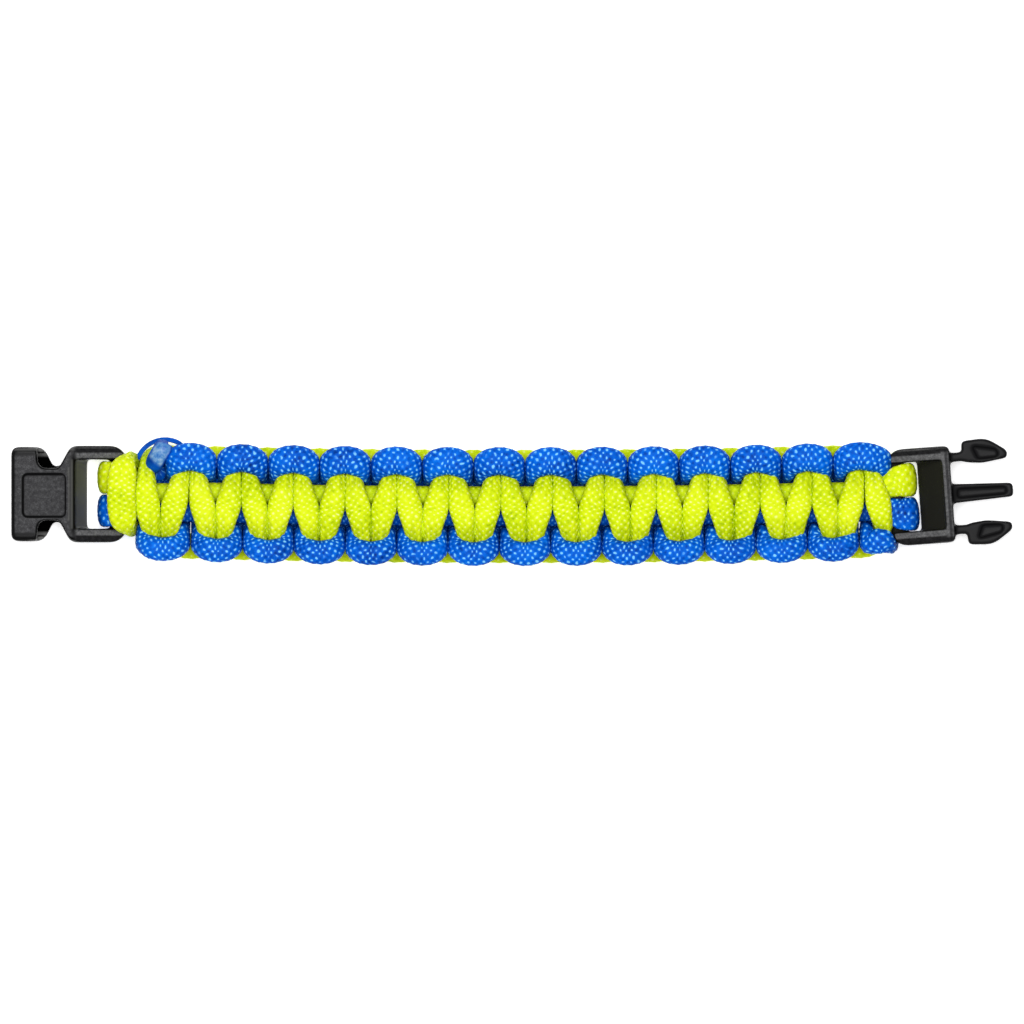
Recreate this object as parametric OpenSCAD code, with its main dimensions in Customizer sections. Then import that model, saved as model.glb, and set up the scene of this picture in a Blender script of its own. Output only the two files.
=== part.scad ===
// Paracord bracelet, laid flat and open: a two-colour flat braid of half knots on two core strands,
// held between the two halves of a side-release buckle. Millimetres, +Z up, underside at z = 0.

/* [Cord] */
// Width of the flattened cord where it crosses the band
cord_w = 4.7; // [4.2:0.1:5.2]
// Height of the flattened cord where it crosses the band
cord_h = 3.1; // [2.8:0.1:3.4]
// Width of each of the two core strands
core_w = 4.1; // [3.7:0.1:4.5]
// Clearance kept between neighbouring strands
strand_gap = 0.1; // [0.06:0.02:0.16]

/* [Band] */
// Number of half knots along the band, an odd number
half_knots = 29; // [21:2:35]
// How far the middle of the band bows sideways from its ends
bow = 1.0; // [0:0.2:3]

/* [Buckle] */
// Width of the webbing slot in both halves
slot_w = 12.9; // [12.9:0.1:14]
// Width of a webbing bar along the band
bar_w = 3.1; // [2.4:0.1:3.4]
// Height of a webbing bar
bar_h = 2.5; // [2:0.1:2.9]
// Thickness of the rails beside the slot
rail_w = 2.6; // [2:0.1:3.4]
// Height of the buckle's body
body_h = 7.6; // [7:0.1:8.6]
// Wall of the socket above and below its cavity
wall = 1.6; // [1.2:0.1:1.9]
// Length of the socket's box, from its mouth to the slot
box_l = 12; // [11:0.5:15]
// Length of the slot from the box to the webbing bar, at the top
slot_l = 6.6; // [5.6:0.1:8]
// Width of the cavity that takes the plug's arms
mouth_w = 15.6; // [14.8:0.1:16]
// Length of the plug's arms and prong beyond its frame
arm_l = 11.4; // [10:0.2:13]
// Thickness of the plug's springy arms
arm_t = 1.7; // [1.3:0.1:2]
// Width of the centre prong at its root
prong_w = 3.4; // [2.8:0.1:3.8]
// Clearance between the plug's arms and the socket's cavity, above and below
fit_gap = 0.3; // [0.2:0.05:0.5]
// Angle by which the plug lies turned against the band, degrees
plug_turn = 4.2; // [0:0.2:6]

/* [Hidden] */

UP = [0, 0, 1];
DOWN = [0, 0, -1];
RIGHT = [1, 0, 0];
LEFT = [-1, 0, 0];
OUT = [0, 1, 0];
SIDES = 8;

// Lattice of the braid: layers one cord high, four strands side by side in each pitch
pitch = 2 * (cord_w + strand_gap);
level = cord_h + strand_gap;
mid_z = level + cord_h / 2;
leg_w = pitch / 4 - strand_gap;
core_y = (core_w + strand_gap) / 2;
core_edge = core_w + 1.5 * strand_gap;
knots = 2 * floor(half_knots / 2) + 1;
band_end = (knots - 1) / 2 * pitch / 2;
band_y = -0.35;

// Distance from the band's centre line of a place that lies a share of the cord's width outside the core
function out(share) = core_edge + share * cord_w;
// Sideways place of the band's centre line
function centre(x) = band_y + bow * (pow(x / band_end, 2) - 0.5);

// One half knot of the working strand, from one edge loop to the middle of its crossing.
// Columns: place along the band as a share of the pitch, distance across, height from the band's middle,
// half width, half height, lean of the section in degrees. The second half is the first one turned.
HALF_KNOT = [
    [0.190, -out(0.97), -0.99 * level, 0.46 * cord_h, 0.47 * cord_w, -90],
    [0.345, -out(0.86), -0.58 * level, 0.36 * cord_h, 0.38 * cord_w, -90],
    [0.375, -out(0.53), 0.05 * level, 0.48 * leg_w, 0.43 * cord_w, -85],
    [0.368, -out(0.20), 0.60 * level, 0.50 * leg_w, 0.26 * cord_w, -52],
    [0.290, -0.65 * core_edge, 1.03 * level, 0.41 * cord_w, 0.465 * cord_h, 0],
    [0.250, 0, 1.03 * level, 0.48 * cord_w, 0.465 * cord_h, 0]
];

// Vector and list helpers
function unit(v) = v / norm(v);
function without_last(list, count) = [for (i = [0:len(list) - 1 - count]) list[i]];
function reversed(list) = [for (i = [len(list) - 1:-1:0]) list[i]];

// Rings of a tube: each row holds the centre, the two half axes and the way that the second one faces
function tangent(rows, i) =
    unit(rows[min(i + 1, len(rows) - 1)][0] - rows[max(i - 1, 0)][0]);
function ring(row, t) =
    let (a = unit(cross(t, row[3])), b = cross(a, t), grow = 1 / cos(180 / SIDES))
    [for (j = [0:SIDES - 1])
        let (angle = (j + 0.5) * 360 / SIDES)
        row[0] + grow * (row[1] * cos(angle) * a + row[2] * sin(angle) * b)];
module tube(rows) {
    points = [for (i = [0:len(rows) - 1]) each ring(rows[i], tangent(rows, i))];
    top = (len(rows) - 1) * SIDES;
    faces = concat(
        [[for (j = [SIDES - 1:-1:0]) j]],
        [for (i = [0:len(rows) - 2], j = [0:SIDES - 1])
            let (k = (j + 1) % SIDES, low = i * SIDES, high = low + SIDES)
            each [[low + j, low + k, high + j], [low + k, high + k, high + j]]],
        [[for (j = [0:SIDES - 1]) top + j]]);
    polyhedron(points = points, faces = faces);
}

// Rows of half knot number k for the strand that crosses on the front
function knot_x(k) = band_end - (k - 1) * pitch / 2;
function knot_rows(k, first = 0) =
    let (side = k % 2 == 1 ? 1 : -1,
        there = [for (i = [first:len(HALF_KNOT) - 1]) HALF_KNOT[i]],
        back = [for (i = [len(HALF_KNOT) - 2:-1:0])
            let (r = HALF_KNOT[i]) [0.5 - r[0], -r[1], r[2], r[3], r[4], -r[5]]])
    [for (r = concat(there, back))
        let (x = knot_x(k) + (0.25 - r[0]) * pitch)
        [[x, -side * r[1], r[2]], r[3], r[4], [0, -side * sin(r[5]), cos(r[5])]]];
// The braid's rows in place; the strand that crosses on the back is the same one turned about the band
function placed(rows, front) =
    let (s = front ? 1 : -1)
    [for (r = rows)
        let (p = r[0])
        [[p[0], centre(p[0]) + s * p[1], mid_z + s * p[2]], r[1], r[2], [r[3][0], s * r[3][1], s * r[3][2]]]];
function braid(front) = placed(
    concat(knot_rows(1, 1), [for (k = [2:knots]) each knot_rows(k)]), front);
// Core strand on one side, from the socket's end to the plug's end
function core(side) =
    [for (i = [-5.5:5.5])
        let (x = i / 5.5 * (band_end + 1.9))
        [[x, centre(x) + side * core_y, mid_z], core_w / 2, cord_h / 2, UP]];

// Places of the two webbing bars. The bight takes more room along the band than the plug's plain turn.
bight_room = 6.4;
turn_length = 4.8;
socket_y = band_y + 1.8;
socket_bar_x = -band_end - bight_room;
socket_bar_z = mid_z - 0.5;
plug_y = band_y + 1.1;
plug_bar_x = band_end + turn_length;
plug_bar_z = mid_z - 0.5;

// Turn of the cord round the plug's bar, from the core over the bar, down through the slot and back under it.
// Columns: place along, sideways and up from the middle of the bar, half width, half height, facing.
PLUG_TURN = [
    [-1.8, 2.6, 2.5, 2.0, 1.05, UP],
    [0.2, 3.1, 2.7, 2.9, 1.10, UP],
    [2.3, 3.2, 2.1, 3.05, 1.1, UP + RIGHT],
    [2.8, 3.2, 0, 3.05, 1.1, RIGHT],
    [2.3, 3.2, -2.1, 3.05, 1.1, DOWN + RIGHT],
    [0.5, 3.3, -2.6, 2.9, 1.15, DOWN],
    [-0.4, 3.9, -2.65, 1.7, 1.2, DOWN]
];
// From under the plug's bar out to the edge of the band: along the bottom, and up to the front
PLUG_TO_BACK = [
    [-0.6, 6.2, -2.65, 1.2, 1.3, DOWN],
    [-1.4, 8.2, -2.65, 1.4, 1.35, DOWN],
    [-3.5, 9.2, -2.4, 1.5, 1.5, DOWN + OUT]
];
PLUG_TO_FRONT = [
    [-1.0, 5.9, -2.6, 1.3, 1.3, DOWN],
    [-1.3, 8.2, -2.5, 1.2, 1.25, DOWN],
    [-1.8, 9.8, -1.0, 1.15, 1.2, DOWN + OUT],
    [-1.9, 10.1, 0.9, 1.1, 1.3, OUT],
    [-2.4, 10.1, 2.8, 1.2, 1.6, OUT],
    [-3.7, 10.1, 3.5, 1.3, 1.8, OUT]
];
// Lark's head round the socket's bar, from the core over the bar, down through the slot and back under it,
// then up beside the bar and across the front to the band's middle
SOCKET_TURN = [
    [2.4, 2.6, 2.1, 1.9, 1.15, UP],
    [0.4, 2.9, 2.55, 2.7, 1.1, UP],
    [-2.2, 3.1, 2.1, 2.95, 1.1, LEFT + UP],
    [-2.8, 3.1, 0, 2.95, 1.1, LEFT],
    [-2.2, 3.1, -2.1, 2.95, 1.1, LEFT + DOWN],
    [0, 3.2, -2.6, 2.8, 1.15, DOWN],
    [1.9, 4.0, -2.6, 2.1, 1.25, DOWN]
];
SOCKET_BIGHT = [
    [2.85, 5.7, -1.5, 1.6, 1.1, DOWN + RIGHT],
    [2.95, 6.5, 0.6, 1.5, 1.1, RIGHT],
    [2.6, 6.7, 3.0, 1.4, 1.3, RIGHT],
    [1.5, 5.4, 4.9, 1.25, 2.3, RIGHT],
    [0.8, 2.6, 5.2, 1.3, 2.65, RIGHT]
];
// The hidden join of the two cords, at the foot of the bight
YELLOW_JOIN = [2.9, 6.25, -0.2, 1.5, 1.1, DOWN + 3 * RIGHT];
BLUE_JOIN = [2.88, 6.15, -0.55, 1.5, 1.1, DOWN + 3 * RIGHT];
// Rows of an end table in place on one side of its bar; the plug's are turned with it
function turned(v, angle) =
    [v[0] * cos(angle) - v[1] * sin(angle), v[0] * sin(angle) + v[1] * cos(angle), v[2]];
function at_bar(table, x, y, z, side, angle) =
    [for (r = table)
        [[x, y, z] + turned([r[0], side * r[1], r[2]], angle), r[3], r[4],
            turned([r[5][0], side * r[5][1], r[5][2]], angle)]];
function at_plug(table, side) = at_bar(table, plug_bar_x, plug_y, plug_bar_z, side, plug_turn);
function at_socket(table, side) = at_bar(table, socket_bar_x, socket_y, socket_bar_z, side, 0);

function yellow_rows() = concat(
    at_socket(concat([YELLOW_JOIN], [for (i = [1:4]) SOCKET_BIGHT[i]]), -1),
    reversed(at_socket(SOCKET_BIGHT, 1)),
    reversed(at_socket(SOCKET_TURN, 1)),
    core(1),
    at_plug(concat(PLUG_TURN, PLUG_TO_BACK), 1),
    braid(true));
function blue_rows() = concat(
    reversed(at_socket(concat(SOCKET_TURN, [SOCKET_BIGHT[0], BLUE_JOIN]), -1)),
    core(-1),
    at_plug(concat(PLUG_TURN, PLUG_TO_FRONT), -1),
    without_last(braid(false), 2));

// Outline through corners given as [x, y, radius], with each corner rounded by its radius
function corner(p, q, r, s) = r == 0 ? [q] :
    let (u = unit(p - q), v = unit(s - q), half = acos(u * v) / 2, reach = r / tan(half),
        middle = q + unit(u + v) * r / sin(half), span = 180 - 2 * half,
        from = q + u * reach - middle, to = q + v * reach - middle,
        steps = max(2, ceil(span / 15)))
    [for (i = [0:steps])
        middle + (from * sin(span * (1 - i / steps)) + to * sin(span * i / steps)) / sin(span)];
function rounded(list) =
    let (n = len(list), at = function (i) [list[(i + n) % n][0], list[(i + n) % n][1]])
    [for (i = [0:n - 1]) each corner(at(i - 1), at(i), list[i][2], at(i + 1))];
function flipped(side, points) = side > 0 ? points : [for (p = reversed(points)) [p[0], -p[1]]];
function mirrored(list) = concat(list, [for (p = reversed(list)) [p[0], -p[1], p[2]]]);
// Block seen from the side: an outline in X and Z pushed through the width
module side_block(outline, width)
    translate([0, width / 2, 0]) rotate([90, 0, 0]) linear_extrude(width) polygon(rounded(outline));
// Block seen from the end: an outline in Y and Z pushed along X from one place to another
module end_block(outline, from, to)
    translate([from, 0, 0]) rotate([90, 0, 90]) linear_extrude(to - from) polygon(rounded(outline));

// Shared buckle sizes
frame_half = slot_w / 2 + rail_w;
box_half = frame_half - 0.2;
edge_r = 1.6;
rail_low = 0.9;
rail_top = body_h - 0.9;
end_low = socket_bar_z - bar_h / 2;
turn_room = 2.4 + strand_gap;
arm_y = mouth_w / 2 - 1.0;
cavity_h = body_h - 2 * wall;
bar_root = 2;
body_end = [
    [-frame_half, 0, 0.9], [frame_half, 0, 0.9], [frame_half, body_h, edge_r], [-frame_half, body_h, edge_r]];
lock_x = box_l * 0.32;

// Socket, modelled from the middle of its webbing bar towards the mouth along -X
socket_slot_x = -bar_w / 2 - slot_l;
socket_mouth_x = socket_slot_x - box_l;
notch_x = socket_slot_x - lock_x;
module socket() color("dimgray") translate([socket_bar_x, socket_y, 0]) {
    difference() {
        intersection() {
            linear_extrude(body_h) polygon(rounded(mirrored([
                [bar_w / 2, frame_half, 3.0], [socket_slot_x - 0.8, frame_half, 1.8],
                [notch_x + 1.0, 0.58 * box_half, 1.0], [notch_x - 0.3, 0.6 * box_half, 0.7],
                [notch_x - 2.0, box_half, 2.4], [socket_mouth_x, box_half, 1.4]])));
            side_block([
                [socket_mouth_x, 0, 0.8], [socket_mouth_x, body_h, 1.3], [socket_slot_x - 1.6, body_h, 2.0],
                [socket_slot_x + 1.4, rail_top, 2.0], [bar_w / 2, rail_top, 1.4],
                [bar_w / 2, end_low, 1.0], [-bar_w / 2, end_low, 0.6], [-bar_w, rail_low, 1],
                [socket_slot_x + 0.8, rail_low, 1], [socket_slot_x - 0.6, 0, 1]], 3 * frame_half);
            end_block(body_end, socket_mouth_x - 1, bar_w);
        }
        socket_slot();
        socket_cavity();
        socket_panel();
    }
    bar(socket_bar_z);
}
// Slot with its sloping wall on the box's side, open past the bar
module socket_slot() side_block([
    [socket_slot_x, body_h + 1, 0], [bar_w, body_h + 1, 0], [bar_w, -1, 0],
    [socket_slot_x + 2.4, -1, 0], [socket_slot_x + 2.4, 1, 0.5], [socket_slot_x, rail_top, 0]], slot_w);
// Webbing bar with rounded edges, let into both rails
module bar(bar_z) translate([0, 0, bar_z]) side_block([
    [-bar_w / 2, -bar_h / 2, 0.8], [bar_w / 2, -bar_h / 2, 0.8],
    [bar_w / 2, bar_h / 2, 0.8], [-bar_w / 2, bar_h / 2, 0.8]], slot_w + bar_root);
// Cavity open at the mouth and into the side windows
module socket_cavity() {
    translate([socket_mouth_x - 1, -mouth_w / 2, wall]) cube([box_l, mouth_w, cavity_h]);
    for (side = [-1, 1])
        translate([0, 0, body_h - wall - 1]) linear_extrude(wall + 2) polygon(flipped(side, rounded([
            [notch_x - 3.1, box_half + 1, 0], [notch_x - 3.1, 0.55 * box_half, 1.6],
            [notch_x + 1.0, 0.55 * box_half, 0.5], [notch_x + 1.0, box_half + 1, 0]])));
}
// Plain square panel sunk into the front
module socket_panel() {
    half = 0.46 * box_half;
    mid_x = (socket_mouth_x + socket_slot_x) / 2 + 0.3;
    translate([mid_x, -0.25, body_h - 0.4]) linear_extrude(1)
        polygon(rounded([for (c = [[-1, -1], [1, -1], [1, 1], [-1, 1]]) [c[0] * half, c[1] * half, 0.9]]));
}

// Plug, modelled from the middle of its webbing bar towards the prongs along +X
plug_slot_x = bar_w / 2 + slot_l + 0.6;
plug_frame_x = plug_slot_x + 1.6;
plug_tip_x = plug_frame_x + arm_l;
plug_low = wall + fit_gap;
plug_high = body_h - wall - fit_gap;
module plug() color("dimgray") translate([plug_bar_x, plug_y, 0]) rotate([0, 0, plug_turn]) {
    difference() {
        union() {
            plug_frame();
            plug_prong();
            for (side = [-1, 1]) plug_arm(side);
        }
        plug_slot();
        plug_channel();
        for (side = [-1, 1]) plug_barb_recess(side);
    }
    bar(plug_bar_z);
}
module plug_frame() intersection() {
    linear_extrude(body_h) polygon(rounded(mirrored([
        [-bar_w / 2, frame_half, 3.0], [plug_frame_x, frame_half, 0.9]])));
    side_block([
        [-bar_w / 2, end_low, 1.0], [-bar_w / 2, rail_top, 1.4], [plug_slot_x - 3, rail_top, 2],
        [plug_slot_x - 0.6, body_h, 1], [plug_frame_x, body_h, 0.8], [plug_frame_x, 0, 0.8],
        [plug_slot_x - 0.6, 0, 1], [plug_slot_x - 2.6, rail_low, 0.8], [bar_w, rail_low, 1],
        [bar_w / 4, end_low, 0.6]], 3 * frame_half);
    end_block(body_end, -bar_w, plug_frame_x + 1);
}
// Slot with its sloping wall on the prongs' side, open past the bar
module plug_slot() side_block([
    [-bar_w, body_h + 1, 0], [plug_slot_x, body_h + 1, 0], [plug_slot_x, body_h - 1.4, 0],
    [bar_w / 2 + turn_room, 1.2, 0.5], [bar_w / 2 + turn_room, -1, 0], [-bar_w, -1, 0]], slot_w);
module plug_prong() translate([0, 0, plug_low]) linear_extrude(plug_high - plug_low)
    polygon(rounded(mirrored([
        [plug_frame_x - 0.8, prong_w / 2 + 0.8, 0], [plug_frame_x + 0.3, prong_w / 2 + 0.1, 0.6],
        [plug_tip_x, 0.38 * prong_w, 0.5]])));
module plug_arm(side) translate([0, 0, plug_low]) linear_extrude(plug_high - plug_low)
    polygon(flipped(side, rounded([
        [plug_frame_x - 0.8, arm_y + arm_t / 2, 0], [plug_frame_x + 2.3, arm_y + arm_t / 2, 0.4],
        [plug_frame_x + 2.3, arm_y + 2.9, 0.7], [plug_frame_x + 7, arm_y + 3.2, 4],
        [plug_tip_x - 0.6, arm_y + 0.6, 1.2], [plug_tip_x - 0.6, arm_y - 0.8, 0.7],
        [plug_frame_x + 6, arm_y - arm_t / 2 - 0.6, 4], [plug_frame_x + 3, arm_y - arm_t / 2 - 0.3, 2],
        [plug_frame_x + 2.4, arm_y - arm_t / 2, 0.5], [plug_frame_x + 0.4, arm_y - arm_t / 2, 0.6],
        [plug_frame_x - 0.8, arm_y - arm_t / 2 - 0.9, 0]])));
// Shallow channels in the front faces, which leave raised rims
module plug_channel() translate([0, 0, plug_high - 0.7]) linear_extrude(body_h)
    polygon(rounded([
        [plug_frame_x + 0.9, -0.26 * prong_w, 0.3], [plug_tip_x - 1.3, -0.2 * prong_w, 0.3],
        [plug_tip_x - 1.3, 0.2 * prong_w, 0.3], [plug_frame_x + 0.9, 0.26 * prong_w, 0.3]]));
module plug_barb_recess(side) translate([0, 0, plug_high - 0.7]) linear_extrude(body_h)
    polygon(flipped(side, rounded([
        [plug_frame_x + 5.2, arm_y - 0.6, 0.3], [plug_tip_x - 2.2, arm_y - 0.5, 0.6],
        [plug_tip_x - 2.6, arm_y + 1.0, 0.8], [plug_frame_x + 4.2, arm_y + 1.9, 0.3]])));

// Melted end of the blue cord: a stump that stands up inside the last lime loop, cut off at a slant,
// with a smooth rim pressed out round the loop
stump_x = knot_x(knots) + 0.125 * pitch;
stump_y = centre(stump_x) + out(0.53);
rim_r = 5.2;
rim_t = 1.0;
rim_x = stump_x + 0.8;
rim_y = stump_y - 0.6;
rim_z = cord_h + 1.1 * rim_t;
stump_top = mid_z + 2.9;
module melted_end() color("mediumblue") {
    hull() {
        translate([stump_x, stump_y + 0.3, mid_z + 1.2])
            scale([0.42 * leg_w, 1.8, 1]) cylinder(r = 1, h = 0.4, $fn = 24);
        translate([stump_x - 0.6, stump_y + 2.6, stump_top]) rotate([-25, 20, 0])
            scale([2.3, 1.9, 1]) cylinder(r = 1, h = 0.5, $fn = 24);
    }
    hull() {
        translate([stump_x - 0.3, stump_y + 3.2, stump_top - 0.9]) sphere(r = 0.8, $fn = 20);
        translate([rim_x - 0.9, rim_y + rim_r, rim_z]) sphere(r = rim_t / 2, $fn = 16);
    }
    translate([rim_x, rim_y, rim_z]) rotate([0, 0, 50])
        rotate_extrude(angle = 80, $fn = 48) translate([rim_r, 0]) circle(d = rim_t, $fn = 24);
}

module yellow_cord() color("yellowgreen") tube(yellow_rows());
module blue_cord() color("royalblue") tube(blue_rows());
socket();
plug();
yellow_cord();
blue_cord();
melted_end();
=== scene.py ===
"""Paracord bracelet laid open: a lime and blue flat braid between the halves of a black side-release buckle.

The cords follow the same rows as their CAD solids, as smooth tubes with the relief of a braided sheath.
Lengths are millimetres, as in the part's source, and turn into metres in mesh_object() and Shader.edge().
"""
import math

import bpy
import numpy as np
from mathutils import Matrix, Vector


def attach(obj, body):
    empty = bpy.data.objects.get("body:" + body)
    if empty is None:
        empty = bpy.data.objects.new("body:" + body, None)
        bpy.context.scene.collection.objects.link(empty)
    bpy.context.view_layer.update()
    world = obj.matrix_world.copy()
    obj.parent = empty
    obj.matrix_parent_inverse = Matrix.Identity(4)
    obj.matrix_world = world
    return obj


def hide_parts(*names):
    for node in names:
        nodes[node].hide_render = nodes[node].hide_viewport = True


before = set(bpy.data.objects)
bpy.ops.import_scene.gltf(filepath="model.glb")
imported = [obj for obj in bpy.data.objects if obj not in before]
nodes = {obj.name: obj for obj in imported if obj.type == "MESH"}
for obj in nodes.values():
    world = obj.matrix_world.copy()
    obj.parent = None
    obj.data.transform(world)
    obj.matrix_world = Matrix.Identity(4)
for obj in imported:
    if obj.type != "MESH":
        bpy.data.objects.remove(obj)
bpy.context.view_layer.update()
MM = 0.001

# Sizes, as in the part's source
CORD_W, CORD_H, CORE_W, GAP = 4.7, 3.1, 4.1, 0.1
HALF_KNOTS, BOW, PLUG_TURN_DEG = 29, 1.0, 4.2
PITCH = 2 * (CORD_W + GAP)
LEVEL = CORD_H + GAP
MID_Z = LEVEL + CORD_H / 2
LEG_W = PITCH / 4 - GAP
CORE_Y = (CORE_W + GAP) / 2
CORE_EDGE = CORE_W + 1.5 * GAP
BAND_END = (HALF_KNOTS - 1) / 2 * PITCH / 2
CORE_END = BAND_END + 1.9
BAND_Y = -0.35
SOCKET_BAR = np.array([-BAND_END - 6.4, BAND_Y + 1.8, MID_Z - 0.5])
PLUG_BAR = np.array([BAND_END + 4.8, BAND_Y + 1.1, MID_Z - 0.5])

# Where the braid changes towards its ends, as distances along the band from its middle:
# the drawn-out knots at the socket, and the first knot and its outer leg at the plug
SOCKET_KNOTS, PLUG_KNOT, PLUG_LEG = (58, 66), (65.5, 68.5), (67.3, 68.2)

# The sheath's pattern: length of one repeat along the cord, and repeats and points around it
WEAVE_L, WEAVE_N = 1.1, 8
AROUND = 6 * WEAVE_N
RELIEF = 0.05
# Power of the rounded section; 2 is an ellipse
ROUNDNESS = 2.35
# The creases around a squeezed cord
CREASES, CREASE_DEPTH = 7, 0.24
# How far the middle of a cord's end stands out
END_DOME = 0.4
# The soft cords press against each other where their solids keep a gap
PRESS = 0.06

# The blue cord's melted end: places, half width and half height along its stump and along the flat web that
# joins it to the double rim
STUMP = [
    ((-67.2, 6.1, 5.6), 1.2, 1.1),
    ((-67.0, 6.9, 6.6), 1.6, 1.2),
    ((-66.5, 8.0, 7.2), 1.75, 1.25),
    ((-65.7, 9.4, 7.6), 1.75, 1.25),
    ((-65.1, 10.4, 7.6), 1.7, 1.15),
    ((-64.9, 10.9, 7.5), 1.5, 0.8),
]
WEB = [
    ((-65.2, 10.2, 7.2), 1.2, 0.9),
    ((-65.4, 11.1, 5.4), 1.1, 0.5),
    ((-65.5, 11.5, 4.1), 0.9, 0.3),
]
RIM_MIDDLE, RIM_RADII, RIM_THICK = np.array([-64.9, 6.25, 4.2]), (5.18, 5.64), 0.23
# The stump turns pale from here on, in the direction in which it leans
PALE_FROM, STUMP_LEAN = np.array([-66.6, 7.4, 7.6]), np.array([0.65, 0.65, 0.4])
# Size of the faces in the skins of the moulded and the melted parts
MOULDED_SKIN, MELTED_SKIN = 0.14, 0.09

# The socket's panel keeps its edges: low and high corner of the box round it
PANEL = ((-92.4, -3.6, 7.0), (-82.4, 6.1, 9.0))
# Soft edges along the socket: the box, both ends and the middle of its panel, the slot's sloped wall, the bend
# of the box's long edges, and the lower shell in the side windows
BOX_FROM = (-81.2, -82.2)
PANEL_FROM, PANEL_MIDDLE, PANEL_TO = (-92.8, -92.4), (-87.6, -87.4), (-82.6, -82.9)
WALL_FROM, WALL_TO = (-82.8, -82.3), (-78.4, -79.0)
BEND_FROM, SHELL_FROM = (-87.5, -89.0), (-90.8, -90.0)
# The tones along the plug start this far from its bar
PLUG_START = 8

UP, DOWN, RIGHT, LEFT, OUT = map(np.array, ([0, 0, 1], [0, 0, -1], [1, 0, 0], [-1, 0, 0], [0, 1, 0]))


def out(share):
    """How far from the band's middle a share of the edge cord's width lies."""
    return CORE_EDGE + share * CORD_W


# Share of the pitch, distance across, height, half width, half height, lean in degrees
HALF_KNOT = [
    (0.000, -out(0.95), -1.00 * LEVEL, 0.46 * CORD_H, 0.50 * CORD_W, -90),
    (0.190, -out(0.88), -0.97 * LEVEL, 0.46 * CORD_H, 0.50 * CORD_W, -90),
    (0.320, -out(0.72), -0.64 * LEVEL, 0.49 * CORD_H, 0.46 * CORD_W, -90),
    (0.362, -out(0.47), -0.24 * LEVEL, 0.55 * LEG_W, 0.51 * CORD_W, -88),
    (0.376, -out(0.36), 0.10 * LEVEL, 0.50 * LEG_W, 0.46 * CORD_W, -85),
    (0.342, -out(0.20), 0.60 * LEVEL, 0.68 * LEG_W, 0.27 * CORD_W, -52),
    (0.300, -0.65 * CORE_EDGE, 1.03 * LEVEL, 0.415 * CORD_W, 0.465 * CORD_H, 0),
    (0.250, 0, 1.03 * LEVEL, 0.49 * CORD_W, 0.465 * CORD_H, 0),
]
# Along, sideways and up from the middle of the bar, half width, half height, facing
PLUG_TURN = [
    (-1.7, 2.0, 2.5, 2.05, 1.05, UP),
    (0.2, 2.9, 2.7, 2.85, 1.10, UP),
    (2.3, 3.2, 2.1, 3.05, 1.1, UP + RIGHT),
    (2.8, 3.2, 0, 3.05, 1.1, RIGHT),
    (2.3, 3.2, -2.1, 3.05, 1.1, DOWN + RIGHT),
    (0.5, 3.3, -2.6, 2.9, 1.15, DOWN),
    (-0.4, 3.9, -2.65, 1.7, 1.2, DOWN),
]
PLUG_TO_BACK = [
    (-0.6, 6.0, -2.65, 1.2, 1.3, DOWN),
    (-1.6, 7.3, -2.65, 1.3, 1.3, DOWN),
    (-3.3, 8.1, -2.4, 1.4, 1.5, DOWN + OUT),
]
PLUG_TO_FRONT = [
    (-1.0, 5.9, -2.6, 1.3, 1.3, DOWN),
    (-1.4, 7.9, -2.5, 1.2, 1.25, DOWN),
    (-1.7, 8.9, -1.0, 1.15, 1.2, DOWN + OUT),
    (-1.9, 9.0, 0.9, 1.1, 1.3, OUT),
    (-2.2, 8.4, 2.7, 1.2, 1.8, OUT),
    (-3.6, 7.8, 3.4, 1.3, 2.4, OUT),
]
SOCKET_TURN = [
    (2.4, 2.6, 2.1, 1.9, 1.15, UP),
    (0.4, 2.9, 2.55, 2.7, 1.1, UP),
    (-2.2, 3.1, 2.1, 2.95, 1.1, LEFT + UP),
    (-2.8, 3.1, 0, 2.95, 1.1, LEFT),
    (-2.2, 3.1, -2.1, 2.95, 1.1, LEFT + DOWN),
    (0, 3.2, -2.6, 2.8, 1.15, DOWN),
    (1.9, 4.0, -2.6, 2.1, 1.25, DOWN),
]
SOCKET_BIGHT = [
    (2.85, 5.7, -1.5, 1.6, 1.1, DOWN + RIGHT),
    (2.5, 6.4, 0.6, 1.5, 1.1, RIGHT),
    (1.9, 6.3, 2.9, 1.4, 1.3, RIGHT),
    (1.1, 5.3, 4.8, 1.25, 2.3, RIGHT),
    (0.7, 2.6, 5.2, 1.3, 2.65, RIGHT),
]
YELLOW_JOIN = (2.9, 6.25, -0.2, 1.5, 1.1, DOWN + 3 * RIGHT)
BLUE_JOIN = (2.88, 6.15, -0.55, 1.5, 1.1, DOWN + 3 * RIGHT)


# The cords' rows

def row(place, a, b, facing):
    """One ring of a cord: its middle, half width, half height and the way the height faces."""
    return np.array([*place, a, b, *facing], float)


def centre(x):
    """The band's bowed middle line."""
    return BAND_Y + BOW * ((x / BAND_END) ** 2 - 0.5)


def share_of(value, low, high):
    """0 below low, 1 above high, smooth between."""
    t = min(1, max(0, (value - low) / (high - low)))
    return t * t * (3 - 2 * t)


def knot_rows(k, first=0):
    """Half knot k from the plug: the table's rows, and then the same ones backwards on the other side."""
    middle = BAND_END - (k - 1) * PITCH / 2
    side = 1 if k % 2 else -1
    back = [(0.5 - r[0], -r[1], r[2], r[3], r[4], -r[5]) for r in HALF_KNOT[-2:0:-1]]
    made = []
    for share, across, height, a, b, lean in HALF_KNOT[first:] + back:
        lean = math.radians(lean)
        place = (middle + (0.25 - share) * PITCH, -side * across, height)
        made.append(row(place, a, b, (0, -side * math.sin(lean), math.cos(lean))))
    return made


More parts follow.
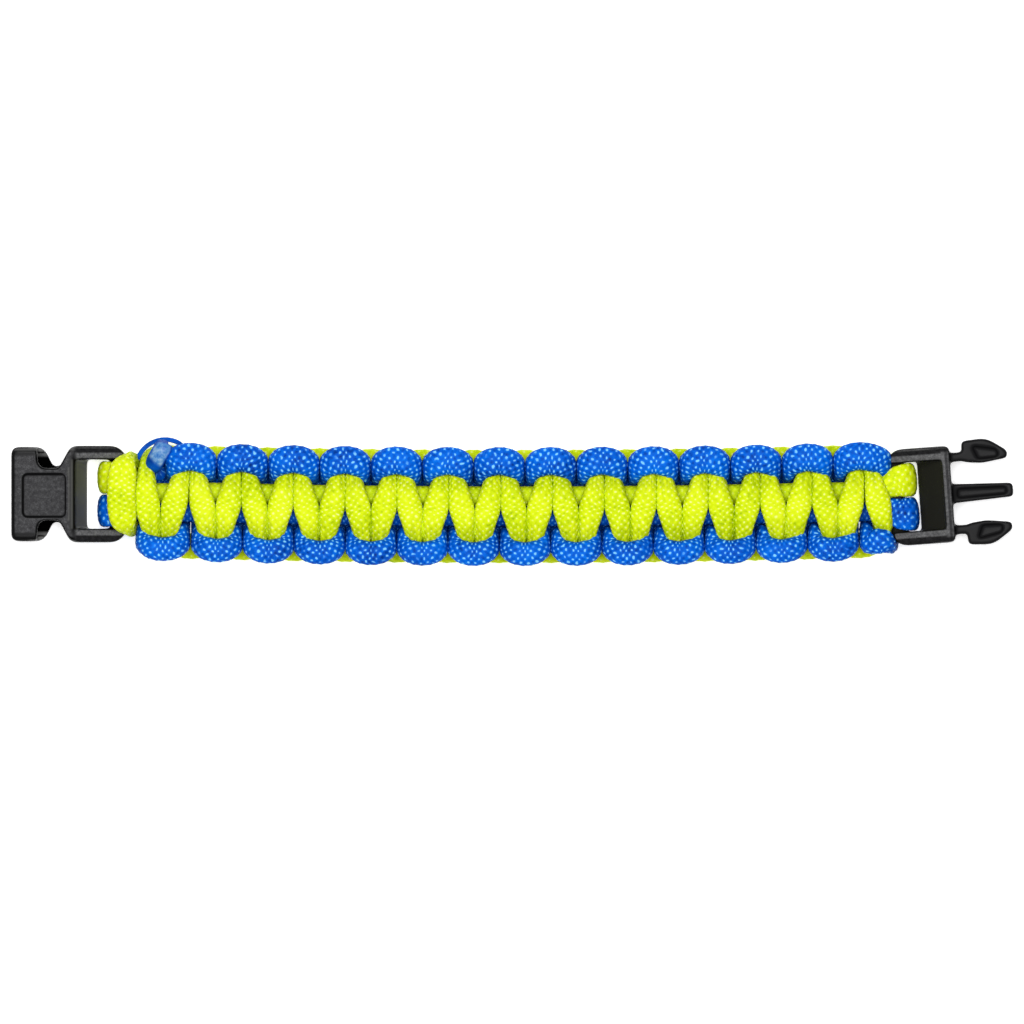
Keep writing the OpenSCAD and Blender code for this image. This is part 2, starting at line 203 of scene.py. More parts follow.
def braid(front):
    """The working strand that crosses on the front, or the same one turned about the band."""
    rows = knot_rows(1, 2) + [r for k in range(2, HALF_KNOTS + 1) for r in knot_rows(k)]
    for r in rows:
        x, across, height = r[:3]
        if front:
            # The crossings lie a little towards the lower edge and, along the band, apart
            # from the edge loops; the loops on the back stay further in
            over = share_of(height, -0.2 * LEVEL, 0.6 * LEVEL)
            r[0] += over * (0.3 + 0.01 * x)
            r[1] -= 0.45 * over + 0.5 * np.sign(across) * share_of(-height, 0, 0.5 * LEVEL)
            r[1] += 0.8 * share_of(x, *PLUG_LEG) * share_of(-across, 2, 5)
        else:
            r[[1, 2, 6, 7]] *= -1
            # The loops reach further in on one edge than on the other
            if r[2] > 0.5 * LEVEL:
                r[1] -= 0.22
                r[4] += 0.2 * np.sign(r[1])
        # The last knots at the socket are drawn out, and so is the first one at the plug
        r[0] -= 0.7 * share_of(-x, *SOCKET_KNOTS) * share_of(-r[1], -5, 0)
        r[3] += 0.1 * share_of(-x, *SOCKET_KNOTS)
        r[0] += share_of(x, *PLUG_KNOT) * (0.5 if front else 1.4)
        r[1] += centre(x)
        r[2] += MID_Z
    return rows


def core(side):
    """A core strand, squeezed narrower than its solid between the two working strands."""
    return [row((x, centre(x) + side * (CORE_Y - 0.2), MID_Z), CORE_W / 2 - 0.25, CORD_H / 2, UP)
            for x in np.linspace(-CORE_END, CORE_END, 12)]


def at_bar(table, bar, side, degrees=0):
    """A table's rows round a bar, on one side of its middle and turned with it."""
    c, s = math.cos(math.radians(degrees)), math.sin(math.radians(degrees))
    turn = np.array([[c, -s, 0], [s, c, 0], [0, 0, 1]])
    flip = np.array([1, side, 1])
    return [row(bar + turn @ (flip * r[:3]), r[3], r[4], turn @ (flip * r[5])) for r in table]


def yellow_rows():
    return (at_bar([YELLOW_JOIN] + SOCKET_BIGHT[1:], SOCKET_BAR, -1)
            + at_bar(SOCKET_BIGHT, SOCKET_BAR, 1)[::-1] + at_bar(SOCKET_TURN, SOCKET_BAR, 1)[::-1]
            + core(1) + at_bar(PLUG_TURN + PLUG_TO_BACK, PLUG_BAR, 1, PLUG_TURN_DEG) + braid(True))


def blue_rows():
    return (at_bar(SOCKET_TURN + [SOCKET_BIGHT[0], BLUE_JOIN], SOCKET_BAR, -1)[::-1]
            + core(-1) + at_bar(PLUG_TURN + PLUG_TO_FRONT, PLUG_BAR, -1, PLUG_TURN_DEG)
            + braid(False)[:-2])


# Smooth tubes from rows

def smooth_rows(rows, fine=24):
    """Rows along a smooth curve through the given ones, close together."""
    p = np.array(rows)
    # A stretch takes as long as the root of its length, which keeps tight bends free of loops
    dt = np.sqrt(np.linalg.norm(np.diff(p[:, :3], axis=0), axis=1))[:, None]
    slope = np.diff(p, axis=0) / dt
    inner = (dt[1:] * slope[:-1] + dt[:-1] * slope[1:]) / (dt[1:] + dt[:-1])
    m = np.vstack([slope[:1], inner, slope[-1:]])
    t = np.linspace(0, 1, fine, endpoint=False)[None, :, None]
    p0, p1, m0, m1 = (v[:, None, :] for v in (p[:-1], p[1:], m[:-1] * dt, m[1:] * dt))
    curve = ((2 * t**3 - 3 * t**2 + 1) * p0 + (t**3 - 2 * t**2 + t) * m0
             + (3 * t**2 - 2 * t**3) * p1 + (t**3 - t**2) * m1)
    # Half sizes stay between those of the two rows
    low, high = np.minimum(p0, p1), np.maximum(p0, p1)
    curve[..., 3:5] = np.clip(curve[..., 3:5], low[..., 3:5], high[..., 3:5])
    return np.vstack([curve.reshape(-1, p.shape[1]), p[-1:]])


def even_rings(curve):
    """Rings at every half repeat of the weave, and how many repeats each lies from the start."""
    length = np.concatenate([[0], np.cumsum(np.linalg.norm(np.diff(curve[:, :3], axis=0), axis=1))])
    repeats = np.arange(0, int(length[-1] / WEAVE_L * 2)) / 2
    return np.column_stack([np.interp(repeats * WEAVE_L, length, c) for c in curve.T]), repeats


def unit(v):
    return v / np.maximum(np.linalg.norm(v, axis=-1, keepdims=True), 1e-9)


def frames(rings):
    """Forward, sideways and upward directions at each ring."""
    forward = unit(np.gradient(rings[:, :3], axis=0))
    side = unit(np.cross(forward, rings[:, 5:]))
    return forward, side, np.cross(side, forward)


def section(a, b):
    """Points of a rounded section with half sizes a and b, evenly spaced round it, and the way each faces."""
    angle = np.linspace(0, 2 * math.pi, 3 * AROUND + 1)
    c, s = np.cos(angle), np.sin(angle)
    x = a * np.sign(c) * np.abs(c) ** (2 / ROUNDNESS)
    y = b * np.sign(s) * np.abs(s) ** (2 / ROUNDNESS)
    around = np.concatenate([[0], np.cumsum(np.hypot(np.diff(x), np.diff(y)))])
    even = np.arange(AROUND) / AROUND * around[-1]
    x, y = np.interp(even, around, x), np.interp(even, around, y)
    nx = np.sign(x) * np.abs(x / a) ** (ROUNDNESS - 1) / a
    ny = np.sign(y) * np.abs(y / b) ** (ROUNDNESS - 1) / b
    return x, y, unit(np.column_stack([nx, ny]))


def mesh_object(name, points, faces, smooth=True):
    mesh = bpy.data.meshes.new(name)
    mesh.from_pydata((np.asarray(points) * MM).tolist(), [], faces)
    mesh.polygons.foreach_set("use_smooth", [smooth] * len(mesh.polygons))
    made = bpy.data.objects.new(name, mesh)
    bpy.context.scene.collection.objects.link(made)
    return made


def tube(name, points, ends):
    """A closed tube through rings of points, with a middle point at each end."""
    n, around = points.shape[:2]
    faces = []
    for low in range(0, (n - 1) * around, around):
        faces += [(low + j, low + (j + 1) % around, low + around + (j + 1) % around, low + around + j)
                  for j in range(around)]
    first, last, top = n * around, n * around + 1, (n - 1) * around
    faces += [(first, (j + 1) % around, j) for j in range(around)]
    faces += [(last, top + j, top + (j + 1) % around) for j in range(around)]
    return mesh_object(name, np.vstack([points.reshape(-1, 3), ends]), faces)


def plain_tube(name, rows, around=24):
    """A smooth tube with an elliptical section, its ends a little domed."""
    rings = smooth_rows(rows, 6)
    forward, side, up = frames(rings)
    angle = np.arange(around) / around * 2 * math.pi
    points = (rings[:, None, :3] + rings[:, 3, None, None] * np.cos(angle)[None, :, None] * side[:, None]
              + rings[:, 4, None, None] * np.sin(angle)[None, :, None] * up[:, None])
    return tube(name, points, [rings[0, :3] - 0.2 * forward[0], rings[-1, :3] + 0.2 * forward[-1]])


def weave_places(repeats):
    """Place in the weave at each corner of each face of a cord: repeats along and repeats around."""
    wide = np.arange(AROUND) / AROUND * WEAVE_N
    wide_next = wide + WEAVE_N / AROUND
    low, high = repeats[:-1, None], repeats[1:, None]
    corners = [np.broadcast_arrays(u, v) for u, v in
               ((low, wide), (low, wide_next), (high, wide_next), (high, wide))]
    body = np.stack([np.stack(c, -1) for c in corners], 2).reshape(-1, 2)
    first, last = repeats[0], repeats[-1]
    start = [((first - 0.3, w), (first, v), (first, w)) for w, v in zip(wide, wide_next)]
    end = [((last + 0.3, w), (last, w), (last, v)) for w, v in zip(wide, wide_next)]
    return np.vstack([body, np.reshape(start + end, (-1, 2))])


def cord(name, rows, node):
    """A braided cord along its rows, closed at both ends, with the sheath's relief and
    the long creases that form where it is squeezed."""
    rings, repeats = even_rings(smooth_rows(rows))
    middle, a, b = rings[:, :3], rings[:, 3] + PRESS, rings[:, 4] + PRESS
    forward, side, up = frames(rings)
    share = np.arange(AROUND) / AROUND
    # 0 where the section is about as large as a free cord's, 1 where less than a third of it is left
    squeeze = np.clip(1.5 - 1.35 * a * b / (0.46 * CORD_W * 0.46 * CORD_H), 0, 1)
    points = np.empty((len(rings), AROUND, 3))
    for i in range(len(rings)):
        x, y, face = section(a[i], b[i])
        weave = math.cos(2 * math.pi * repeats[i]) * np.cos(2 * math.pi * WEAVE_N * share)
        drift = 0.6 * math.sin(repeats[i] * 0.9) + 0.3 * math.sin(repeats[i] * 2.3)
        crease = (0.5 + 0.5 * np.cos(2 * math.pi * CREASES * share + drift)) ** 2
        lift = RELIEF * weave - squeeze[i] * CREASE_DEPTH * crease
        points[i] = (middle[i] + (x + face[:, 0] * lift)[:, None] * side[i]
                     + (y + face[:, 1] * lift)[:, None] * up[i])
    made = tube(name, points, [middle[0] - END_DOME * forward[0], middle[-1] + END_DOME * forward[-1]])
    layer = made.data.uv_layers.new(name="weave")
    layer.data.foreach_set("uv", weave_places(repeats).ravel())
    values = np.concatenate([np.repeat(squeeze, AROUND), [1, 1]])
    made.data.attributes.new("squeeze", "FLOAT", "POINT").data.foreach_set("value", values)
    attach(made, "root")
    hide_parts(node)
    return made


# Materials

def linear(rgb):
    """An sRGB colour of 0 to 255 as linear RGBA."""
    c = [v / 255 for v in rgb]
    return [v / 12.92 if v <= 0.04045 else ((v + 0.055) / 1.055) ** 2.4 for v in c] + [1.0]


class Nodes:
    """Short calls for building a node tree."""

    def __init__(self, tree):
        self.tree = tree

    def node(self, kind, *values, **settings):
        """A node with its settings, and its first inputs linked or set."""
        made = self.tree.nodes.new(kind)
        for key, value in settings.items():
            setattr(made, key, value)
        for socket, value in zip(made.inputs, values):
            self.put(socket, value)
        return made

    def put(self, socket, value):
        """Links a socket or sets it; a tuple is an sRGB colour."""
        if isinstance(value, bpy.types.NodeSocket):
            self.tree.links.new(value, socket)
        else:
            socket.default_value = linear(value) if isinstance(value, tuple) else value

    def math(self, how, *values):
        return self.node("ShaderNodeMath", *values, operation=how).outputs[0]

    def vector(self, how, *values):
        return self.node("ShaderNodeVectorMath", *values, operation=how).outputs[0]

    def axes(self, vector):
        return self.node("ShaderNodeSeparateXYZ", vector).outputs[:3]


class Shader(Nodes):
    """Short calls for building a material."""

    # A mix node's inputs for the share and the two values, and its result, by the kind of value
    MIX_SOCKETS = {"FLOAT": ((0, 2, 3), 0), "RGBA": ((0, 6, 7), 2)}

    def __init__(self, name):
        self.material = bpy.data.materials.new(name)
        self.material.use_nodes = True
        super().__init__(self.material.node_tree)
        self.tree.nodes.clear()
        self.surface = self.node("ShaderNodeBsdfPrincipled")
        self.node("ShaderNodeOutputMaterial", self.surface.outputs[0])

    def shade(self, values):
        for name, value in values.items():
            self.put(self.surface.inputs[name], value)

    def position(self):
        """The object's own coordinates, whole and as x, y and z."""
        place = self.node("ShaderNodeTexCoord").outputs["Object"]
        return place, *self.axes(place)

    def normal(self):
        return self.axes(self.node("ShaderNodeNewGeometry").outputs["Normal"])

    def product(self, first, *others):
        for value in others:
            first = self.math("MULTIPLY", first, value)
        return first

    def scaled(self, value, factor, offset):
        """value * factor + offset"""
        return self.math("MULTIPLY_ADD", value, factor, offset)

    def rest(self, share):
        """What a share leaves of 1."""
        return self.math("SUBTRACT", 1.0, share)

    def step(self, value, low, high):
        """0 at low, 1 at high, smooth between."""
        return self.node("ShaderNodeMapRange", value, low, high, 0.0, 1.0,
                         interpolation_type="SMOOTHSTEP").outputs[0]

    def edge(self, length, low, high):
        """A step between two places in millimetres."""
        return self.step(length, low * MM, high * MM)

    def noise(self, vector, scale, detail=2.0, rough=0.5):
        """Noise with a middle of 0.5; scale is per metre for object coordinates."""
        made = self.node("ShaderNodeTexNoise")
        for name, value in (("Vector", vector), ("Scale", scale), ("Detail", detail), ("Roughness", rough)):
            self.put(made.inputs[name], value)
        return made.outputs["Fac"]

    def ramp(self, value, stops):
        made = self.node("ShaderNodeValToRGB", value)
        points = made.color_ramp.elements
        while len(points) < len(stops):
            points.new(0.5)
        for point, (place, colour) in zip(points, stops):
            point.position = place
            point.color = linear(colour)
        return made.outputs[0]

    def ramp_along(self, length, span, stops, start=0.0):
        """A ramp whose stops are millimetres after start, within a span."""
        share = self.scaled(length, 1 / (span * MM), -start / span)
        return self.ramp(share, [(place / span, colour) for place, colour in stops])

    def mix(self, share, one, other, kind="RGBA", how="MIX"):
        made = self.node("ShaderNodeMix", data_type=kind, blend_type=how)
        sockets, result = self.MIX_SOCKETS[kind]
        for i, value in zip(sockets, (share, one, other)):
            self.put(made.inputs[i], value)
        return made.outputs[result]

    def bump(self, height, distance, strength):
        """A normal with relief up to a distance in millimetres."""
        made = self.node("ShaderNodeBump")
        for name, value in (("Height", height), ("Distance", distance * MM), ("Strength", strength)):
            self.put(made.inputs[name], value)
        return made.outputs[0]


def sheath(name, tones, glint, glint_share, crown_highlight, shade, spread):
    """Braided nylon sheath: painted highlights on the crowns of the bundles on a diagonal lattice, fine
    filaments along them, small differences from bundle to bundle, and long creases where the cord is squeezed,
    darkened with painted shade.

    tones: colours from the painted shade in the crevices up to the painted highlight on the highest crowns;
    glint, glint_share:
    colour and strength of the painted highlight on the bundles that catch the light; crown_highlight: how far
    a painted highlight brightens a crown's tone; shade: how far painted shade darkens the depths between the
    cords; spread: the level from which a crown glints."""
    t = Shader(name)
    place, _, _, z = t.position()
    weave_along, weave_around, _ = t.axes(t.node("ShaderNodeUVMap", uv_map="weave").outputs[0])
    along = t.scaled(t.noise(place, 500, 1.0), 0.7, weave_along)
    around = t.scaled(t.noise(place, 650, 1.0), 0.7, weave_around)
    turn = 2 * math.pi
    crown = t.product(t.math("COSINE", t.product(along, turn)), t.math("COSINE", t.product(around, turn)))
    # Filaments run along the bundles, which lean one way and the other round the cord
    lean = t.math("SINE", t.product(t.math("ADD", along, around), 4 * turn))
    lean_back = t.math("SINE", t.product(t.math("SUBTRACT", along, around), 4 * turn))
    filament = t.product(lean, lean_back)
    patch = t.noise(place, 1100, 2.0, 0.6)
    slow = t.noise(place, 130, 2.0)
    lit = t.scaled(crown, crown_highlight, t.scaled(patch, 0.5, t.product(slow, 0.5)))
    lit = t.scaled(filament, 0.05, lit)
    # Painted light and shade across the weave: crowns lighter, crevices darker, with random differences from
    # bundle to bundle
    colour = t.ramp(lit, list(zip((0.22, 0.38, 0.52, 0.75), tones)))
    crevice_shade_tone = tones[0]
    # Long creases follow the cord where it is squeezed; painted shade darkens them towards the crevice tone
    squeeze = t.node("ShaderNodeAttribute", attribute_name="squeeze").outputs["Fac"]
    flow = t.node("ShaderNodeCombineXYZ", t.product(weave_along, 0.25), t.product(weave_around, 1.7))
    crease = t.product(t.step(t.noise(flow.outputs[0], 1.0, 1.0), 0.44, 0.56), squeeze)
    colour = t.mix(t.product(crease, 0.9), colour, crevice_shade_tone)
    # Painted shade: deep between the cords the colour darkens towards the crevice tone, and fewer bundles get
    # a painted glint
    level = t.math("ABSOLUTE", t.math("SUBTRACT", z, MID_Z * MM))
    deep = t.edge(level, 3.4, 1.0)
    colour = t.mix(t.product(deep, shade), colour, crevice_shade_tone)
    # Painted glints on the crowns, in patches, fewer where the cord is squeezed or lies deep
    dot = t.step(t.scaled(patch, 1.1, crown), spread, spread + 0.55)
    patchy_painted_light = t.step(t.noise(place, 420, 1.0), 0.22, 0.5)
    hidden = t.math("MAXIMUM", t.product(squeeze, 0.4), t.product(deep, 0.7))
    colour = t.mix(t.product(dot, patchy_painted_light, t.rest(hidden), glint_share), colour, glint)
    height = t.scaled(filament, 0.08, t.product(crown, 0.4))
    height = t.scaled(patch, 0.4, height)
    height = t.scaled(crease, -1.0, height)
    t.shade({
        "Base Color": colour,
        "Roughness": t.scaled(patch, 0.3, 0.4),
        "Specular IOR Level": 0.06,
        "Normal": t.bump(height, 0.14, 0.8),
    })
    return t.material


class BuckleShader(Shader):
    """The buckle's material, with the places on both halves that its tones follow."""

    def __init__(self, name):
        super().__init__(name)
        self.place, self.x, y, z = self.position()
        self.nx, _, self.nz = self.normal()
        # How far a face that looks up or down lies out from the middle
        reach = self.product(self.math("SUBTRACT", z, SOCKET_BAR[2] * MM), self.nz)
        self.outer_rail = self.edge(reach, 1.4, 2.0)
        self.outer = self.edge(reach, 2.6, 3.1)
        self.box = self.edge(self.x, *BOX_FROM)
        self.at_plug = self.edge(self.x, -10, 10)
        # Across from the middle of each bar, and along the plug, which is turned, from PLUG_START
        slope = math.tan(math.radians(PLUG_TURN_DEG))
        plug_y = self.scaled(self.x, -slope, (PLUG_BAR[0] * slope - PLUG_BAR[1]) * MM)
        offset = self.math("ADD", y, self.mix(self.at_plug, -SOCKET_BAR[1] * MM, plug_y, "FLOAT"))
        self.across = self.math("ABSOLUTE", offset)
        self.upper = self.edge(offset, -1, 1)
        plug_x = self.scaled(y, slope, (-PLUG_BAR[0] - PLUG_BAR[1] * slope - PLUG_START) * MM)
        self.plug_x = self.math("ADD", plug_x, self.x)
        self.at_arms = self.edge(self.plug_x, 2.4, 2.8)
        # The flat outer faces: narrow on the rails, and grained right to the edge at the box's mouth
        upright = self.math("ABSOLUTE", self.nz)
        rail = self.product(self.step(upright, 0.3, 0.7), self.outer_rail)
        face_up = self.scaled(self.step(self.nx, -0.1, -0.3), 0.6, upright)
        face = self.product(self.step(face_up, 0.93, 0.995), self.outer)
        self.flat = self.mix(self.box, rail, face, "FLOAT")

    def flat_tones(self, grain):
        """The flat faces: even on the box, painted light and shade on the rails, pale bands on the bars, dark
        on the arms.
        """
        box = self.ramp(grain, [(0.3, (34, 34, 36)), (0.5, (56, 56, 58)), (0.7, (84, 84, 86))])
        arms = self.ramp(grain, [(0.3, (22, 22, 23)), (0.5, (32, 32, 33)), (0.7, (46, 46, 47))])
        # Each rail: dark at its inner edge, then a grained band along the slot painted as lit, then a bend
        # painted dark as shade, and a painted sheen on the upper rail's outside
        rail = self.ramp_along(self.across, 10, [
            (6.4, (24, 24, 24)), (6.8, (84, 84, 85)), (7.55, (90, 90, 91)), (7.85, (30, 30, 31))])
        pale = self.product(self.upper, self.edge(self.across, 8.4, 8.9))
        rail = self.mix(pale, rail, (84, 84, 84))
        # The plug's cross bar: paler along the slot and along the arms, darker between
        bar = self.ramp_along(self.plug_x, 5, [
            (1.3, (84, 84, 85)), (1.45, (48, 48, 50)), (1.8, (50, 50, 51)),
            (1.925, (80, 80, 81)), (2.2, (72, 72, 73))])
        at_bar = self.product(self.at_plug, self.edge(self.plug_x, 0.5, 1.0),
                              self.edge(self.across, 8.3, 7.6))
        speckle = self.ramp(grain, [(0.3, (110, 110, 110)), (0.5, (188, 188, 188)), (0.7, (255, 255, 255))])
        patchy_painted_light = self.mix(0.8, self.mix(at_bar, rail, bar), speckle, how="OVERLAY")
        tones = self.mix(self.box, self.mix(self.at_arms, patchy_painted_light, arms), box)
        # Painted shade: the box's long edges bend further than its ends, and the bend is painted dark
        bend = self.product(self.box, self.edge(self.across, 6.9, 7.5), self.edge(self.x, *BEND_FROM))
        return self.mix(bend, tones, (32, 32, 33))

    def round_tones(self, cloud):
        """The rounded edges: black, with painted light: paler on the arms' up-facing tops, and a painted sheen
        on the box's upper outside.
        """
        tones = self.ramp(cloud, [(0.3, (12, 12, 13)), (0.7, (18, 18, 19))])
        # Painted light: the arms' up-facing tops are paler
        arm_top = self.product(self.at_arms, self.step(self.nz, 0.5, 0.9))
        tones = self.mix(arm_top, tones, (26, 26, 27))
        # Painted sheen along the box's upper outside
        rim = self.product(self.box, self.upper, self.edge(self.across, 7.9, 8.4),
                           self.step(self.nz, 0.1, 0.3))
        return self.mix(rim, tones, (78, 78, 78))

    def panel_end_highlight(self):
        """Share of the slopes of the socket's raised panel ends that face out from its middle, where a
        highlight is painted.
        """
        outward = self.scaled(self.edge(self.x, *PANEL_MIDDLE), 2.0, -1.0)
        end = self.step(self.product(self.nx, outward), 0.15, 0.4)
        beside = self.product(self.edge(self.across, 5.2, 4.7), self.edge(self.x, *PANEL_FROM),
                              self.edge(self.x, *PANEL_TO))
        return self.product(self.box, self.outer, end, beside)

    def side_windows(self):
        """Share of the side windows' inside, and its tones: black as painted shade, but pale where the lower
        shell ends.
        """
        inside = self.product(self.box, self.rest(self.outer_rail), self.step(self.nz, 0.2, 0.6))
        shell = self.product(self.edge(self.across, 6.8, 7.5), self.edge(self.x, *SHELL_FROM))
        return inside, self.mix(shell, (2, 2, 2), (96, 96, 95))

    def slot_walls(self, colour):
        """Adds the slots' dull sloped walls: the socket's lighter, with a painted highlight at its top and a
        dark line along its upper edge.
        """
        in_slot = self.edge(self.across, 6.8, 6.3)
        wall = self.product(self.step(self.nx, 0.2, 0.5), self.edge(self.x, *WALL_FROM),
                            self.edge(self.x, *WALL_TO), in_slot)
        # A painted highlight along the wall's top edge, then the dark line
        wall_tones = self.ramp_along(self.x, 5, [
            (0.6, (100, 100, 98)), (1.0, (16, 16, 12)), (1.35, (16, 16, 12)),
            (1.65, (68, 68, 64)), (3.75, (60, 60, 58)), (4.0, (38, 38, 38))], start=-83)
        colour = self.mix(wall, colour, wall_tones)
        plug_wall = self.product(self.at_plug, self.edge(self.plug_x, 1.2, 0.8), self.rest(self.outer_rail),
                                 in_slot)
        return self.mix(plug_wall, colour, (34, 34, 29))


def plastic(name):
    """Black moulded plastic: a fine spark-eroded grain on the flat outer faces, darker away from the socket's
    box, plain gloss on the rounded edges, painted light and shade on the rails, rims and panel ends, and dull
    inside, where the side windows are painted black for shade."""
    t = BuckleShader(name)
    grain = t.product(t.math("ADD", t.noise(t.place, 4200, 2.0, 0.6), t.noise(t.place, 1500, 2.0)), 0.5)
    cloud = t.noise(t.place, 220, 3.0)
    colour = t.mix(t.flat, t.round_tones(cloud), t.flat_tones(grain))
    # Painted highlight on the slopes of the panel's raised ends
    colour = t.mix(t.product(t.panel_end_highlight(), 0.8), colour, (104, 103, 100))
    # Painted shade: the side windows' inside is black
    inside, inside_tones = t.side_windows()
    colour = t.mix(inside, colour, inside_tones)
    shine = t.scaled(t.flat, -0.3, t.scaled(t.outer, 0.35, 0.05))
    t.shade({
        "Base Color": t.slot_walls(colour),
        "Roughness": t.scaled(t.flat, 0.25, t.scaled(cloud, 0.12, 0.26)),
        "Specular IOR Level": t.product(shine, t.rest(inside)),
        "Normal": t.bump(t.scaled(cloud, 0.1, t.product(grain, t.flat)), 0.08, 0.7),
    })
    return t.material


def melted(name):
    """Nylon melted with a flame and pressed: smooth and blue, but glossy and pale on the stump's flattened
    top, partly the clouded white where the sheath and the core ran together, partly a painted reflection where
    the top faces up."""
    t = Shader(name)
    place, _, _, z = t.position()
    _, _, nz = t.normal()
    along = t.node("ShaderNodeVectorMath", place, STUMP_LEAN, operation="DOT_PRODUCT").outputs["Value"]
    foot = float(STUMP_LEAN @ PALE_FROM)
    # Pale on the up-facing top: partly clouded nylon, partly a painted reflection
    pale = t.product(t.edge(along, foot - 0.3, foot + 0.6), t.step(nz, 0.45, 0.85), t.edge(z, 5.8, 6.6))
    cloud = t.noise(place, 900, 4.0, 0.6)
    streak = t.noise(place, 350, 2.0)
    blue = t.ramp(streak, [(0.3, (0, 56, 146)), (0.6, (2, 84, 186))])
    white = t.ramp(cloud, [(0.3, (38, 98, 174)), (0.5, (82, 134, 192)), (0.7, (146, 178, 208))])
    t.shade({
        "Base Color": t.mix(t.product(pale, t.step(cloud, 0.15, 0.5)), blue, white),
        "Roughness": t.mix(pale, 0.5, t.scaled(cloud, 0.25, 0.14), "FLOAT"),
        "Specular IOR Level": t.mix(pale, 0.06, 0.2, "FLOAT"),
        "Normal": t.bump(cloud, 0.2, 0.5),
    })
    return t.material


def paper(name):
    """White paper, lit a little from below as on a light table, so that it stays pale far from the lamps."""
    t = Shader(name)
    t.shade({"Base Color": (250, 250, 250), "Roughness": 0.9,
             "Emission Color": (255, 255, 255), "Emission Strength": 0.5})
    return t.material


# Soft skins

def even_skin(made, voxel):
    """One closed skin of small even faces."""
    remesh = made.modifiers.new("even skin", "REMESH")
    remesh.mode = "VOXEL"
    remesh.voxel_size = voxel * MM
    remesh.use_smooth_shade = True


def soften(node, rounds, crisp=None):
    """Rounds a moulded part's edges as its mould would, with modifiers only. Inside the box crisp,
    its low and high corners in millimetres, they stay sharper."""
    even_skin(node, MOULDED_SKIN)
    group = bpy.data.node_groups.new("rounded edges", "GeometryNodeTree")
    for way in ("INPUT", "OUTPUT"):
        group.interface.new_socket("Geometry", in_out=way, socket_type="NodeSocketGeometry")
    g = Nodes(group)
    place = g.node("GeometryNodeInputPosition").outputs[0]
    blur = g.node("GeometryNodeBlurAttribute", data_type="FLOAT_VECTOR")
    g.put(next(v for v in blur.inputs if v.name == "Value" and v.enabled), place)
    g.put(blur.inputs["Iterations"], rounds)
    if crisp:
        # The largest of the distances outside the box, over half a millimetre, as the neighbours' weight
        low, high = (np.array(c) * MM for c in crisp)
        off = g.vector("ABSOLUTE", g.vector("SUBTRACT", place, (low + high) / 2))
        x, y, z = g.axes(g.vector("SUBTRACT", off, (high - low) / 2))
        most = g.math("MAXIMUM", g.math("MAXIMUM", x, y), z)
        weight = g.node("ShaderNodeMapRange", most, 0.0, 0.5 * MM, 0.1, 1.0).outputs[0]
        g.put(blur.inputs["Weight"], weight)
    move = g.node("GeometryNodeSetPosition")
    g.put(move.inputs["Geometry"], g.node("NodeGroupInput").outputs[0])
    g.put(move.inputs["Position"], next(v for v in blur.outputs if v.enabled))
    g.node("NodeGroupOutput", move.outputs[0])
    node.modifiers.new("rounded edges", "NODES").node_group = group


def melted_end(finish):
    """The blue cord's melted end: a stump pressed flat on top, and the smooth double rim that ran out."""
    parts = [plain_tube("stump", [row(place, a, b, UP + 0.35 * OUT) for place, a, b in STUMP])]
    for radius in RIM_RADII:
        arc = []
        for degrees in range(50, 167, 6):
            turn = math.radians(degrees)
            place = RIM_MIDDLE + radius * np.array([math.cos(turn), math.sin(turn), 0])
            # Thinner towards both ends
            thick = RIM_THICK * min(1, (degrees - 42) / 20, (172 - degrees) / 12)
            arc.append(row(place, thick, thick, UP))
        parts.append(plain_tube("rim", arc, 12))
    parts.append(plain_tube("web", [row(place, a, b, OUT) for place, a, b in WEB], 12))
    with bpy.context.temp_override(active_object=parts[0], selected_editable_objects=parts):
        bpy.ops.object.join()
    made = parts[0]
    made.name = made.data.name = "melted_nylon_end"
    even_skin(made, MELTED_SKIN)
    smooth = made.modifiers.new("rounded", "SMOOTH")
    smooth.factor, smooth.iterations = 0.5, 4
    made.data.materials.append(finish)
    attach(made, "root")
    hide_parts("melted_end")


# Pieces

# Tones from painted crevice shade up to painted crown highlights; glint is a painted highlight
lime = sheath("lime_cord", ((140, 172, 2), (200, 223, 6), (218, 236, 20), (228, 242, 46)),
              glint=(248, 252, 176), glint_share=0.65, crown_highlight=0.07, shade=0.35, spread=1.03)
blue = sheath("blue_cord", ((0, 42, 118), (0, 78, 186), (0, 98, 214), (0, 122, 240)),
              glint=(140, 218, 254), glint_share=0.85, crown_highlight=0.12, shade=0.6, spread=0.96)
black = plastic("buckle_plastic")

yellow_cord = cord("lime_paracord", yellow_rows(), "yellow_cord")
yellow_cord.data.materials.append(lime)
blue_cord = cord("blue_paracord", blue_rows(), "blue_cord")
blue_cord.data.materials.append(blue)

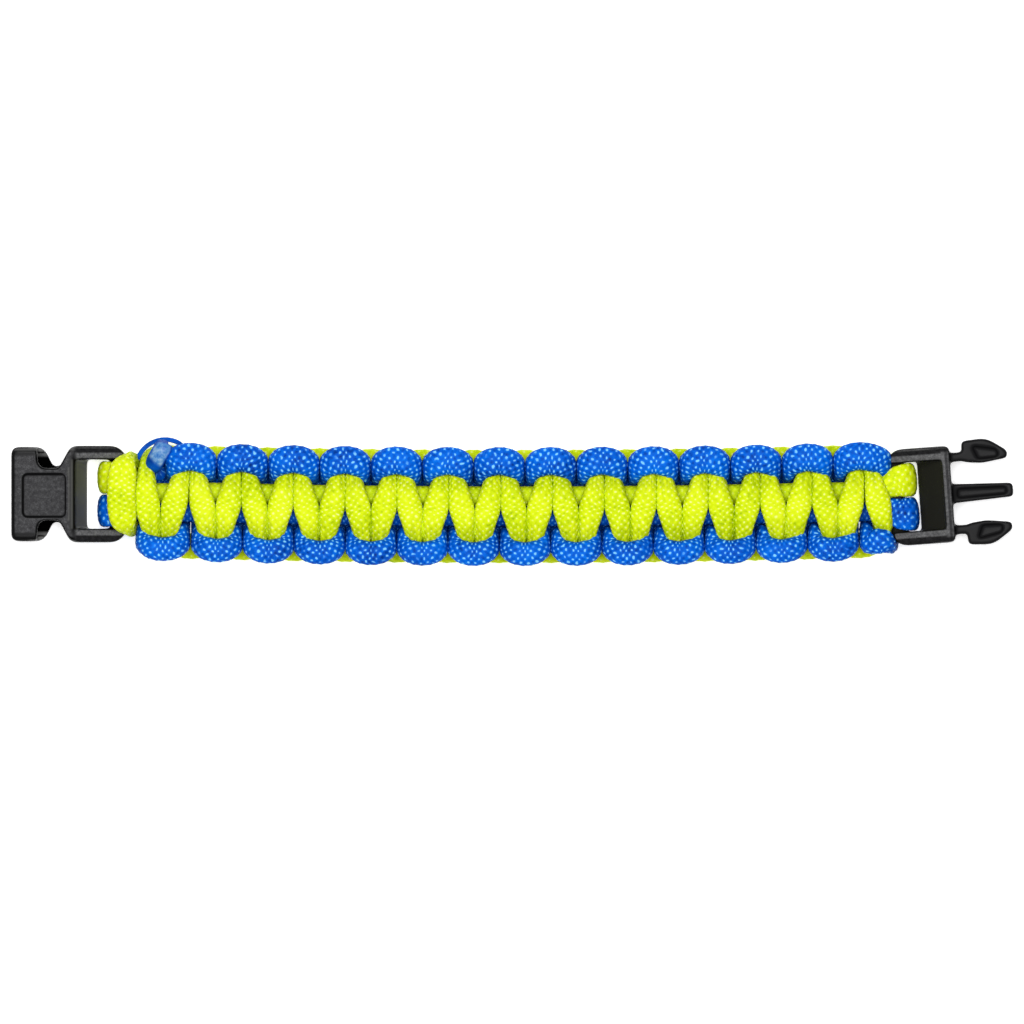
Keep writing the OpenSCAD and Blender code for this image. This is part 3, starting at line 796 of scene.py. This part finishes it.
soften(nodes["socket"], 36, PANEL)
soften(nodes["plug"], 22)
for name in ("socket", "plug"):
    nodes[name].data.materials.clear()
    nodes[name].data.materials.append(black)

melted_end(melted("melted_nylon"))


# Floor, light and camera

# The sheath's relief reaches a tenth of a millimetre below the solids
FLOOR, FLOOR_Z = 6000, -0.1
corners = [(x * FLOOR, y * FLOOR, FLOOR_Z) for x, y in ((-1, -1), (1, -1), (1, 1), (-1, 1))]
floor = mesh_object("floor", corners, [(0, 1, 2, 3)], smooth=False)
floor.data.materials.append(paper("white_paper"))


def area_light(name, place, size, power):
    """A square lamp aimed at the middle of the bracelet; place and size are metres."""
    data = bpy.data.lights.new(name, "AREA")
    data.shape, data.size, data.energy = "SQUARE", size, power
    made = bpy.data.objects.new(name, data)
    made.location = place
    made.rotation_euler = (-Vector(place)).to_track_quat("-Z", "Y").to_euler()
    bpy.context.scene.collection.objects.link(made)


area_light("overhead", (-0.03, 0.1, 1.0), 0.7, 12.5)
area_light("side", (-0.9, -0.5, 0.7), 0.4, 0.9)

# A dim white room fills the shadows
world = bpy.data.worlds.new("studio")
world.use_nodes = True
background = world.node_tree.nodes["Background"]
background.inputs["Color"].default_value = (1, 1, 1, 1)
background.inputs["Strength"].default_value = 0.09
bpy.context.scene.world = world
bpy.context.scene.view_settings.view_transform = "Standard"

# The photograph looks straight down from afar, here from DISTANCE in metres: 1024 pixels across, each 0.187 mm
# at the middle of the braid's height. ORIGIN is the part's own, in pixels from the left and from the top
PICTURE, PIXEL, ORIGIN, DISTANCE = 1024, 0.187 * MM, (512.1, 501.865), 5
camera_data = bpy.data.cameras.new("camera")
camera_data.lens = camera_data.sensor_width * DISTANCE / (PICTURE * PIXEL)
camera_data.clip_end = 2 * DISTANCE
camera = bpy.data.objects.new("camera", camera_data)
camera.location = ((PICTURE / 2 - ORIGIN[0]) * PIXEL, (ORIGIN[1] - PICTURE / 2) * PIXEL,
                   DISTANCE + MID_Z * MM)
bpy.context.scene.collection.objects.link(camera)
bpy.context.scene.camera = camera
